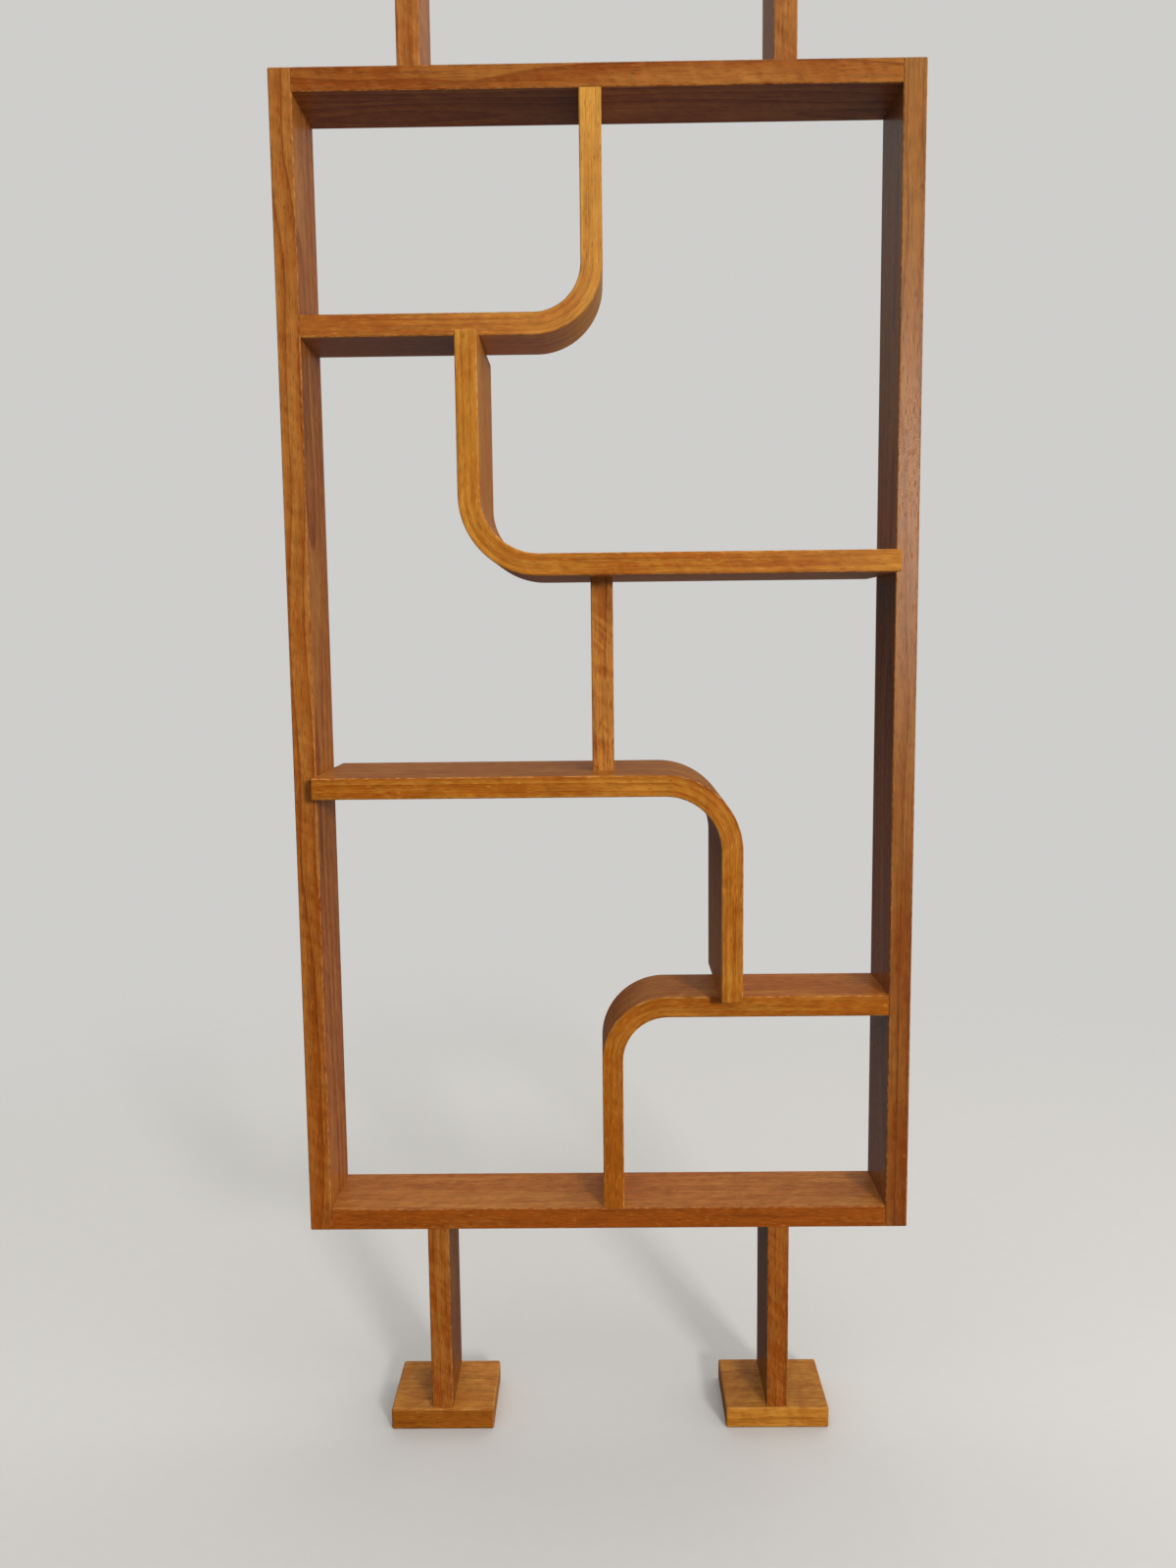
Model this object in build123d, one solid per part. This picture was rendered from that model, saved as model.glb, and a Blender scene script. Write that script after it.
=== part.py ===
from build123d import *
import math
import os

# Floor to ceiling room divider, in millimetres.
# The origin is on the floor in the middle of the overall width and depth, the front faces -Y and +Z is up.

# Frame of boards
frame_width = 700.0
frame_height = 1295.0
frame_depth = 100.0
board_thickness = 25.0
board_edge_chamfer = 1.0

# The four shelves part the frame into five bays, equal but for a small shift of each pair of shelves
bay_count = 5
short_shelf_shift = 0.8
long_shelf_shift = 5.4
short_upright_offset = 7.5
long_upright_offset = 142.5

# Bent laminated strips, the short ones as deep as the frame and the long ones standing out of it
strip_thickness = 24.0
strip_edge_chamfer = 1.2
short_bend_inner_radius = 52.0
long_bend_inner_radius = 63.0
long_bend_front_overhang = 30.0
long_bend_rear_overhang = 50.0
long_bend_corner_round = 3.0

# Centre post between the long shelves, set back from the front of the frame
centre_post_width = 25.0
centre_post_setback = 25.0

# Legs and upper posts
post_offset = 200.0
post_thickness = 25.0
post_depth = 96.0
post_edge_chamfer = 1.0
leg_length = 225.0
upper_post_length = 960.0

# Stub tenons that hold the legs, the upper posts and the centre post
tenon_thickness = 9.0
tenon_length = 14.0
tenon_shoulder = 14.0
tenon_clearance = 0.1
tenon_end_gap = 0.8

# Feet and ceiling blocks
block_width = 122.0
block_depth = 104.0
block_height = 25.0
block_edge_chamfer = 1.5

# Hidden dowels at the corners of the frame
frame_dowel_diameter = 10.0
frame_dowel_length = 50.0
frame_dowel_seat = 17.0
frame_dowel_spacing = 50.0

# Hidden dowels at the ends of the bends
dowel_diameter = 8.0
dowel_length = 38.0
dowel_seat = 13.0
bend_dowel_spacing = 56.0

# Fit of all dowels in their holes
dowel_clearance = 0.1
dowel_end_gap = 0.8

# Countersunk wood screws, driven up through each foot into its leg
foot_screw_diameter = 5.0
foot_screw_head_diameter = 9.5
foot_screw_length = 60.0
foot_screw_spacing = 48.0

# Countersunk wood screws, driven up through each jack plate into its ceiling block
plate_screw_diameter = 4.0
plate_screw_head_diameter = 7.6
plate_screw_length = 18.0
plate_screw_spacing = 44.0

# Fit and form of all screws
screw_clearance = 0.1
screw_sink = 0.5

# Threaded rod of the jack, free in the bore of its post
rod_diameter = 12.0
rod_length = 113.0
rod_chamfer = 1.0
rod_bore_clearance = 0.5
rod_bore_reserve = 12.0

# Washer and nut of the jack
washer_diameter = 24.0
washer_thickness = 2.5
nut_across_flats = 18.0
nut_height = 10.8
nut_running_clearance = 0.05
nut_chamfer_share = 0.58
nut_sides = 6

# Steel plate on the head of the rod, and the felt on the ceiling block
plate_size = 60.0
plate_thickness = 3.0
plate_corner_radius = 5.0
plate_nut_gap = 0.7
felt_thickness = 3.0
felt_margin = 3.0

# How far a cut runs past the face that it opens
cut_overrun = 2.0

# Heights above the floor
frame_bottom = block_height + leg_length
frame_top = frame_bottom + frame_height
frame_middle = (frame_bottom + frame_top) / 2
inner_bottom = frame_bottom + board_thickness
inner_top = frame_top - board_thickness
bay_height = (inner_top - inner_bottom - (bay_count - 1) * strip_thickness) / bay_count
short_shelf_bottom = inner_top - bay_height - strip_thickness + short_shelf_shift
long_shelf_bottom = inner_top - 2 * (bay_height + strip_thickness) - long_shelf_shift
centre_bay_height = 2 * (long_shelf_bottom - frame_middle)
upper_post_top = frame_top + upper_post_length
washer_top = upper_post_top + washer_thickness
plate_bottom = washer_top + nut_height + plate_nut_gap
plate_top = plate_bottom + plate_thickness
felt_bottom = plate_top + block_height
rod_bottom = plate_bottom - rod_length

# Places across the width and through the depth, measured from the middle of the frame
inner_half_width = frame_width / 2 - board_thickness
frame_front = -frame_depth / 2
long_bend_front = frame_front - long_bend_front_overhang
long_bend_back = frame_depth / 2 + long_bend_rear_overhang
overall_middle = (long_bend_front + long_bend_back) / 2
centre_post_depth = frame_depth - 2 * centre_post_setback

LEFT, RIGHT, UP, DOWN = (-1, 0, 0), (1, 0, 0), (0, 0, 1), (0, 0, -1)
STANDING = (Align.CENTER, Align.CENTER, Align.MIN)


def half_turn(shape):
    """The shape turned half round the middle of the frame, which carries its upper half to its lower half."""
    middle = Pos(0, 0, frame_middle)
    return middle * Rot(0, 180, 0) * middle.inverse() * shape


def eased_board(length_x, length_y, length_z, edge_chamfer, along=None):
    """A board with its edges eased, all of them or only those along one axis."""
    board = Box(length_x, length_y, length_z)
    edges = board.edges().filter_by(along) if along else board.edges()
    return chamfer(edges, edge_chamfer)


def group(solids):
    """Several separate solids kept in one node."""
    return Part() + solids


def dowel_places(x, z, direction, spacing):
    """Two places side by side through the depth of a joint face, looking into the piece that lies crosswise."""
    face = Plane(origin=(x, 0, z), x_dir=(0, 1, 0), z_dir=direction)
    return [face.location * Pos(side * spacing / 2, 0, 0) for side in (-1, 1)]


def dowels(places, diameter=dowel_diameter, length=dowel_length, seat=dowel_seat):
    """Round dowels, each set into the crosswise piece by its seat."""
    dowel = Cylinder(diameter / 2, length)
    return [place * Pos(0, 0, seat - length / 2) * dowel for place in places]


def dowel_holes(places, diameter=dowel_diameter, length=dowel_length, seat=dowel_seat):
    """The holes of the same dowels, a little wider and deeper."""
    hole = Cylinder(diameter / 2 + dowel_clearance, length + 2 * dowel_end_gap)
    return [place * Pos(0, 0, seat - length / 2) * hole for place in places]


def screw(diameter, head_diameter, length):
    """A countersunk wood screw with the flat of its head at the origin and its point up."""
    radius = diameter / 2
    head_radius = head_diameter / 2
    shank = Cylinder(radius, length, align=STANDING)
    return shank + Cone(head_radius, radius, head_radius - radius, align=STANDING)


def screw_hole(diameter, head_diameter, length):
    """The hole and countersink of the same screw, which leave it sunk below the face."""
    radius = diameter / 2 + screw_clearance
    mouth = screw_sink + cut_overrun
    mouth_radius = head_diameter / 2 + screw_clearance + mouth
    hole = Cylinder(radius, length + screw_clearance, align=STANDING)
    return hole + Pos(0, 0, -mouth) * Cone(mouth_radius, radius, mouth_radius - radius, align=STANDING)


def bent_strip(upright_x, shelf_z, upright_end, shelf_end, inner_radius, front, back):
    """A strip of laminated wood bent once, from an upright into a shelf, along the middle of its thickness."""
    route = FilletPolyline((upright_x, upright_end), (upright_x, shelf_z), (shelf_end, shelf_z),
                           radius=inner_radius + strip_thickness / 2)
    outline = Plane.XZ * trace(route, strip_thickness)
    return Pos(0, back, 0) * extrude(outline, back - front)


def eased_strip(strip):
    """The strip with the long edges of its front and back faces eased."""
    edges = strip.faces().filter_by(Axis.Y).edges()
    return chamfer([edge for edge in edges if edge.length > strip_thickness], strip_edge_chamfer)


# Places of the dowels at each kind of joint
short_upright_x = -short_upright_offset
long_upright_x = -long_upright_offset
short_shelf_z = short_shelf_bottom + strip_thickness / 2
long_shelf_z = long_shelf_bottom + strip_thickness / 2
top_rail_z = inner_top + board_thickness / 2
upper_corners = dowel_places(-inner_half_width, top_rail_z, LEFT, frame_dowel_spacing)
upper_corners += dowel_places(inner_half_width, top_rail_z, RIGHT, frame_dowel_spacing)
upper_short_ends = dowel_places(-inner_half_width, short_shelf_z, LEFT, bend_dowel_spacing)
upper_short_ends += dowel_places(short_upright_x, inner_top, UP, bend_dowel_spacing)
upper_long_ends = dowel_places(inner_half_width, long_shelf_z, RIGHT, bend_dowel_spacing)
upper_long_ends += dowel_places(long_upright_x, short_shelf_bottom, UP, bend_dowel_spacing)


def with_half_turn(solids):
    """Solids of the upper half of the frame, and the same solids turned to its lower half."""
    return solids + [half_turn(solid) for solid in solids]


# Dowel holes of each kind of joint
corner_holes = with_half_turn(
    dowel_holes(upper_corners, frame_dowel_diameter, frame_dowel_length, frame_dowel_seat))
short_bend_holes = with_half_turn(dowel_holes(upper_short_ends))
long_bend_holes = with_half_turn(dowel_holes(upper_long_ends))


def side_board(side):
    """A full-height side board with blind dowel holes in its inner face."""
    board = eased_board(board_thickness, frame_depth, frame_height, board_edge_chamfer)
    board = Pos(side * (frame_width - board_thickness) / 2, 0, frame_middle) * board
    return board - corner_holes - short_bend_holes - long_bend_holes


def tenon(whole_depth):
    """A stub tenon that stands up from the shoulder of a post of this depth."""
    return Box(tenon_thickness, whole_depth - 2 * tenon_shoulder, tenon_length, align=STANDING)


def mortise(whole_depth):
    """The slot for the same tenon, a little wider and deeper."""
    thickness = tenon_thickness + 2 * tenon_clearance
    depth = whole_depth - 2 * tenon_shoulder + 2 * tenon_clearance
    return Box(thickness, depth, tenon_length + tenon_end_gap, align=STANDING)


def top_rail():
    """The rail between the side boards, doweled to them and to the short bend, with a mortise for each post."""
    rail = eased_board(2 * inner_half_width, frame_depth, board_thickness, board_edge_chamfer, Axis.X)
    slot = Rot(180, 0, 0) * mortise(post_depth)
    mortises = [Pos(side * post_offset, 0, frame_top) * slot for side in (-1, 1)]
    return Pos(0, 0, top_rail_z) * rail - mortises - corner_holes - short_bend_holes


def upper_short_bend():
    """Shelf from the left board that bends up to the top rail, level with the frame at front and back."""
    strip = bent_strip(short_upright_x, short_shelf_z, inner_top, -inner_half_width,
                       short_bend_inner_radius, frame_front, -frame_front)
    return eased_strip(strip) - short_bend_holes - long_bend_holes


def upper_long_bend():
    """Shelf from the right board that bends up to the short shelf and stands out of the frame."""
    strip = bent_strip(long_upright_x, long_shelf_z, short_shelf_bottom, inner_half_width,
                       long_bend_inner_radius, long_bend_front, long_bend_back)
    end_corners = strip.edges().sort_by(SortBy.LENGTH)[:4]
    strip = fillet(end_corners, long_bend_corner_round)
    return eased_strip(strip) - long_bend_holes - Pos(0, 0, long_shelf_bottom) * mortise(centre_post_depth)


def centre_post():
    """Short post between the two long shelves, with a tenon in each."""
    body = eased_board(centre_post_width, centre_post_depth, centre_bay_height, post_edge_chamfer, Axis.Z)
    tenons = with_half_turn([Pos(0, 0, long_shelf_bottom) * tenon(centre_post_depth)])
    return Pos(0, 0, frame_middle) * body + tenons


def post(x, bottom, length):
    """A straight post with its long edges eased, for a leg or an upper post."""
    body = eased_board(post_thickness, post_depth, length, post_edge_chamfer, Axis.Z)
    return Pos(x, 0, bottom + length / 2) * body


def block(x, bottom):
    """A wooden block with all its edges eased, for a foot or a ceiling block."""
    body = eased_board(block_width, block_depth, block_height, block_edge_chamfer)
    return Pos(x, 0, bottom + block_height / 2) * body


def screw_pair(x, face_height, spacing, screw_or_hole):
    """Two of the same screw side by side through the depth, sunk in the face that they enter."""
    return [Pos(x, side * spacing / 2, face_height + screw_sink) * screw_or_hole for side in (-1, 1)]


def foot_screws(x, make):
    """The two screws of a foot, or their holes."""
    one = make(foot_screw_diameter, foot_screw_head_diameter, foot_screw_length)
    return screw_pair(x, 0, foot_screw_spacing, one)


def plate_screws(x, make):
    """The two screws of a jack plate, or their holes."""
    one = make(plate_screw_diameter, plate_screw_head_diameter, plate_screw_length)
    return screw_pair(x, plate_bottom, plate_screw_spacing, one)


def leg(x):
    """A leg with its tenon in the bottom rail, bored for the screws of its foot."""
    body = post(x, block_height, leg_length) + Pos(x, 0, frame_bottom) * tenon(post_depth)
    return body - foot_screws(x, screw_hole)


def upper_post(x):
    """A post with its tenon in the top rail, bored down from its top for the rod of the jack."""
    depth = upper_post_top - rod_bottom + rod_bore_reserve
    bore = Cylinder(rod_diameter / 2 + rod_bore_clearance, depth + cut_overrun, align=STANDING)
    body = post(x, frame_top, upper_post_length) + Pos(x, 0, frame_top) * Rot(180, 0, 0) * tenon(post_depth)
    return body - Pos(x, 0, upper_post_top - depth) * bore


def jack_washer(x):
    """Flat washer that spreads the load of the nut over the end of the post."""
    washer = Cylinder(washer_diameter / 2, washer_thickness, align=STANDING)
    hole = Cylinder(rod_diameter / 2 + rod_bore_clearance, washer_thickness + cut_overrun, align=STANDING)
    return Pos(x, 0, upper_post_top) * (washer - hole)


def jack_nut(x):
    """Hexagon nut with its corners turned off at top and bottom, running on the rod."""
    flat_radius = nut_across_flats / 2
    corner_radius = flat_radius / math.cos(math.pi / nut_sides)
    slope = (corner_radius - flat_radius) * nut_chamfer_share
    nut = extrude(RegularPolygon(corner_radius, nut_sides), nut_height)
    turned = Cone(flat_radius, corner_radius, slope, align=STANDING)
    turned += Pos(0, 0, slope) * Cylinder(corner_radius, nut_height - 2 * slope, align=STANDING)
    turned += Pos(0, 0, nut_height - slope) * Cone(corner_radius, flat_radius, slope, align=STANDING)
    bore = Cylinder(rod_diameter / 2 + nut_running_clearance, nut_height + cut_overrun, align=STANDING)
    return Pos(x, 0, washer_top) * ((nut & turned) - bore)


def jack_rod(x):
    """Threaded rod that hangs from the plate into the bore of the post."""
    rod = Cylinder(rod_diameter / 2, rod_length, align=STANDING)
    rod = chamfer(rod.edges().sort_by(Axis.Z)[0], rod_chamfer)
    return Pos(x, 0, rod_bottom) * rod


def jack_plate(x):
    """Steel plate under the ceiling block, with its corners rounded."""
    plate = extrude(RectangleRounded(plate_size, plate_size, plate_corner_radius), plate_thickness)
    return Pos(x, 0, plate_bottom) * plate - plate_screws(x, screw_hole)


def ceiling_felt(x):
    """Felt face that keeps the block from marking the ceiling."""
    width = block_width - 2 * felt_margin
    depth = block_depth - 2 * felt_margin
    return Pos(x, 0, felt_bottom) * Box(width, depth, felt_thickness, align=STANDING)


upper_short = upper_short_bend()
upper_long = upper_long_bend()
rail = top_rail()
corner_dowels = dowels(upper_corners, frame_dowel_diameter, frame_dowel_length, frame_dowel_seat)

nodes = {
    "left_side_board": side_board(-1),
    "right_side_board": side_board(1),
    "top_rail": rail,
    "bottom_rail": half_turn(rail),
    "upper_short_bend": upper_short,
    "lower_short_bend": half_turn(upper_short),
    "upper_long_bend": upper_long,
    "lower_long_bend": half_turn(upper_long),
    "centre_post": centre_post(),
    "frame_corner_dowels": group(with_half_turn(corner_dowels)),
    "short_bend_dowels": group(with_half_turn(dowels(upper_short_ends))),
    "long_bend_dowels": group(with_half_turn(dowels(upper_long_ends))),
}

for side, x in (("left", -post_offset), ("right", post_offset)):
    nodes[side + "_leg"] = leg(x)
    nodes[side + "_foot"] = block(x, 0) - foot_screws(x, screw_hole)
    nodes[side + "_foot_screws"] = group(foot_screws(x, screw))
    nodes[side + "_upper_post"] = upper_post(x)
    nodes[side + "_jack_washer"] = jack_washer(x)
    nodes[side + "_jack_nut"] = jack_nut(x)
    nodes[side + "_jack_rod"] = jack_rod(x)
    nodes[side + "_jack_plate"] = jack_plate(x)
    nodes[side + "_plate_screws"] = group(plate_screws(x, screw))
    nodes[side + "_ceiling_block"] = block(x, plate_top) - plate_screws(x, screw_hole)
    nodes[side + "_ceiling_felt"] = ceiling_felt(x)

# The frame stands a little in front of the overall middle, which the long bends set
os.makedirs("parts", exist_ok=True)
for name, shape in nodes.items():
    placed = Pos(0, -overall_middle, 0) * shape
    export_step(placed, "parts/" + name + ".step")
    print(name, len(placed.solids()), round(placed.volume))
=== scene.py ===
import math

import bmesh
import bpy
from bpy.props import FloatProperty, FloatVectorProperty, IntProperty, PointerProperty
from mathutils import Matrix, Vector


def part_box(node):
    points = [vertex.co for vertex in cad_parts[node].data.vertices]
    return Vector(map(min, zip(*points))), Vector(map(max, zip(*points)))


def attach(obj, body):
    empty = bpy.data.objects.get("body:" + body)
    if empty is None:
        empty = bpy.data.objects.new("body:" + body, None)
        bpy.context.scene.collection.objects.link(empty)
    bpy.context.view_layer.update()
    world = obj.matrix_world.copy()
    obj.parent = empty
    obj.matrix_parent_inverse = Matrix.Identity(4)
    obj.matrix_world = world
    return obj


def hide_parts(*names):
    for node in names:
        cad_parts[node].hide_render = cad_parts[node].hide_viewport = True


bl_info = {
    "name": "Room Divider",
    "version": (1, 0, 0),
    "blender": (4, 5, 0),
    "location": "View3D > Sidebar > Divider",
    "description": "Finishes a room divider: lacquered wood, bent laminated shelves, ceiling jacks",
    "category": "Object",
}

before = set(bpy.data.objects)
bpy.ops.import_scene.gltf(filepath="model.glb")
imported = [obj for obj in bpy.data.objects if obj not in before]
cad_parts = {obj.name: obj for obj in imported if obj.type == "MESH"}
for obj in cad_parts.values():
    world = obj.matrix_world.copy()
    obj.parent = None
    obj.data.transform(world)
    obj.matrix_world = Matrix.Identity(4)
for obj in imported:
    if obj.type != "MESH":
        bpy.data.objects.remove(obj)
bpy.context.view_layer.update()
SIDES = ("left", "right")
ORIGIN = (0.0, 0.0, 0.0)
AXES = {"x": (1.0, 0.0, 0.0), "y": (0.0, 1.0, 0.0), "z": (0.0, 0.0, 1.0)}

# The bent strips as the solids have them, in metres
STRIP_THICKNESS = 0.024
STRIP_LAYERS = 16.0
INNER_RADIUS = {"short": 0.052, "long": 0.063}

# Radius of each kind of screw at its head and at its shank, in metres
SCREW_SIZES = {"foot_screws": (0.00475, 0.0025), "plate_screws": (0.0038, 0.002)}

# Where the photograph was taken from, in metres and degrees, and its sensor in millimetres
CAMERA_PLACE = (-0.0022, -1.47595, 0.93793)
CAMERA_PITCH, CAMERA_YAW, CAMERA_ROLL = -6.5352, -0.6239, -0.6460
SENSOR_WIDTH = 36.0

# The main lamp, in metres, and the patch that stands for it in reflections, in degrees
LAMP_PLACE = (1.75, -4.2, 1.8)
LAMP_TARGET = (0.0, 0.0, 0.9)
LAMP_SIZE = 0.7
LAMP_COLOUR = (1.0, 0.97, 0.93)
SHEEN_WAY = (0.27, -1.0, 0.11)
SHEEN_EDGE, SHEEN_CORE = 10.0, 3.0

FLOOR_DROP = 0.0002
FLOOR_SEGMENTS = 96


# Nodes

def feed(tree, socket, value):
    """Links a socket to a socket, or sets its value."""
    if isinstance(value, bpy.types.NodeSocket):
        tree.links.new(value, socket)
    else:
        socket.default_value = value


def add(tree, kind, inputs=None, **settings):
    """Adds a node with its settings, and sets or links its inputs by name or place."""
    made = tree.nodes.new(kind)
    for name, value in settings.items():
        setattr(made, name, value)
    for key, value in (inputs or {}).items():
        feed(tree, made.inputs[key], value)
    return made


def number(tree, operation, *values, clamp=False):
    """The result of a math node."""
    inputs = dict(enumerate(values))
    return add(tree, "ShaderNodeMath", inputs, operation=operation, use_clamp=clamp).outputs[0]


def total(tree, first, *rest, clamp=False):
    """The sum of numbers, kept between 0 and 1 where it is clamped."""
    for value in rest[:-1]:
        first = number(tree, "ADD", first, value)
    return number(tree, "ADD", first, rest[-1], clamp=clamp)


def minus(tree, first, second):
    """The first number less the second."""
    return number(tree, "SUBTRACT", first, second)


def times(tree, first, *rest):
    """The product of numbers."""
    for value in rest:
        first = number(tree, "MULTIPLY", first, value)
    return first


def lesser(tree, first, second):
    """The smaller of two numbers."""
    return number(tree, "MINIMUM", first, second)


def greater(tree, first, second):
    """The larger of two numbers."""
    return number(tree, "MAXIMUM", first, second)


def diagonal(tree, first, second):
    """The diagonal of a rectangle with these two sides."""
    squares = total(tree, times(tree, first, first), times(tree, second, second))
    return number(tree, "SQRT", squares)


def vector(tree, operation, *values, output="Vector"):
    """The result of a vector math node."""
    inputs = dict(enumerate(values))
    return add(tree, "ShaderNodeVectorMath", inputs, operation=operation).outputs[output]


def scaled(tree, place, factor):
    """A vector or colour times a number."""
    inputs = {"Vector": place, "Scale": factor}
    return add(tree, "ShaderNodeVectorMath", inputs, operation="SCALE").outputs["Vector"]


def shifted(tree, place, way, seed):
    """A place moved by its seed times a way, so that no two pieces share their noise."""
    return vector(tree, "ADD", place, scaled(tree, way, seed))


def split(tree, place):
    """The three numbers of a vector."""
    return add(tree, "ShaderNodeSeparateXYZ", {0: place}).outputs


def joined(tree, *numbers):
    """A vector of up to three numbers."""
    return add(tree, "ShaderNodeCombineXYZ", dict(enumerate(numbers))).outputs[0]


def step(tree, value, low, high, to_low=0.0, to_high=1.0):
    """A smooth step of value from low to high."""
    inputs = {
        "Value": value, "From Min": low, "From Max": high, "To Min": to_low, "To Max": to_high,
    }
    made = add(tree, "ShaderNodeMapRange", inputs, interpolation_type="SMOOTHSTEP")
    return made.outputs["Result"]


def blend(tree, factor, first, second):
    """Two colours mixed by a factor."""
    made = add(tree, "ShaderNodeMix", data_type="RGBA", clamp_factor=True)
    # the sockets for numbers and vectors are there too, but not enabled
    sockets = [socket for socket in made.inputs if socket.enabled]
    for socket, value in zip(sockets, (factor, first, second)):
        feed(tree, socket, value)
    return next(socket for socket in made.outputs if socket.enabled)


def noise(tree, place, waves, detail=2.0, rough=0.5, distortion=0.0, output="Fac"):
    """Noise over a place, with so many waves in a metre in its three directions."""
    inputs = {
        "Vector": vector(tree, "MULTIPLY", place, waves), "Scale": 1.0, "Detail": detail,
        "Roughness": rough, "Distortion": distortion,
    }
    return add(tree, "ShaderNodeTexNoise", inputs).outputs[output]


def shaders_mixed(tree, factor, first, second):
    """Two shaders mixed by a factor."""
    return add(tree, "ShaderNodeMixShader", {0: factor, 1: first, 2: second}).outputs[0]


# Shared effects

FLOAT, COLOUR, VECTOR = "NodeSocketFloat", "NodeSocketColor", "NodeSocketVector"
SOCKETS = {float: FLOAT, list: COLOUR, tuple: VECTOR}


def new_group(name, inputs, outputs):
    """The tree of an empty shader node group, what it is given and what it puts out."""
    tree = bpy.data.node_groups.new(name, "ShaderNodeTree")
    for label, default in inputs.items():
        kind = SOCKETS[type(default)]
        socket = tree.interface.new_socket(label, in_out="INPUT", socket_type=kind)
        socket.default_value = default
    for label, kind in outputs.items():
        tree.interface.new_socket(label, in_out="OUTPUT", socket_type=kind)
    given = tree.nodes.new("NodeGroupInput").outputs
    return tree, given, tree.nodes.new("NodeGroupOutput").inputs


def make_straight_grain():
    """Turns a place on a straight piece into metres along, across and through its grain."""
    inputs = {"Position": ORIGIN, "Centre": ORIGIN, "Along": AXES["z"], "Through": AXES["x"]}
    tree, given, out = new_group("Straight Grain", inputs, {"Place": VECTOR})
    offset = vector(tree, "SUBTRACT", given["Position"], given["Centre"])
    across = vector(tree, "CROSS_PRODUCT", given["Along"], given["Through"])
    parts = [
        vector(tree, "DOT_PRODUCT", offset, axis, output="Value")
        for axis in (given["Along"], across, given["Through"])
    ]
    feed(tree, out["Place"], joined(tree, *parts))
    return tree


def make_bent_grain():
    """Turns a place on a bent strip into metres along it, across it and through its layers."""
    inputs = {"Position": ORIGIN, "Arc Centre": ORIGIN, "Turn": (1.0, 1.0, 1.0), "Radius": 0.07}
    tree, given, out = new_group("Bent Grain", inputs, {"Place": VECTOR})
    offset = vector(tree, "SUBTRACT", given["Position"], given["Arc Centre"])
    side, depth, drop = split(tree, vector(tree, "MULTIPLY", offset, given["Turn"]))
    side_out, drop_out = greater(tree, side, 0.0), greater(tree, drop, 0.0)
    through = minus(tree, diagonal(tree, side_out, drop_out), given["Radius"])
    around = times(tree, number(tree, "ARCTAN2", side_out, drop_out), given["Radius"])
    straight = minus(tree, lesser(tree, side, 0.0), lesser(tree, drop, 0.0))
    along = total(tree, around, straight)
    feed(tree, out["Place"], joined(tree, along, depth, through))
    return tree


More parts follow.
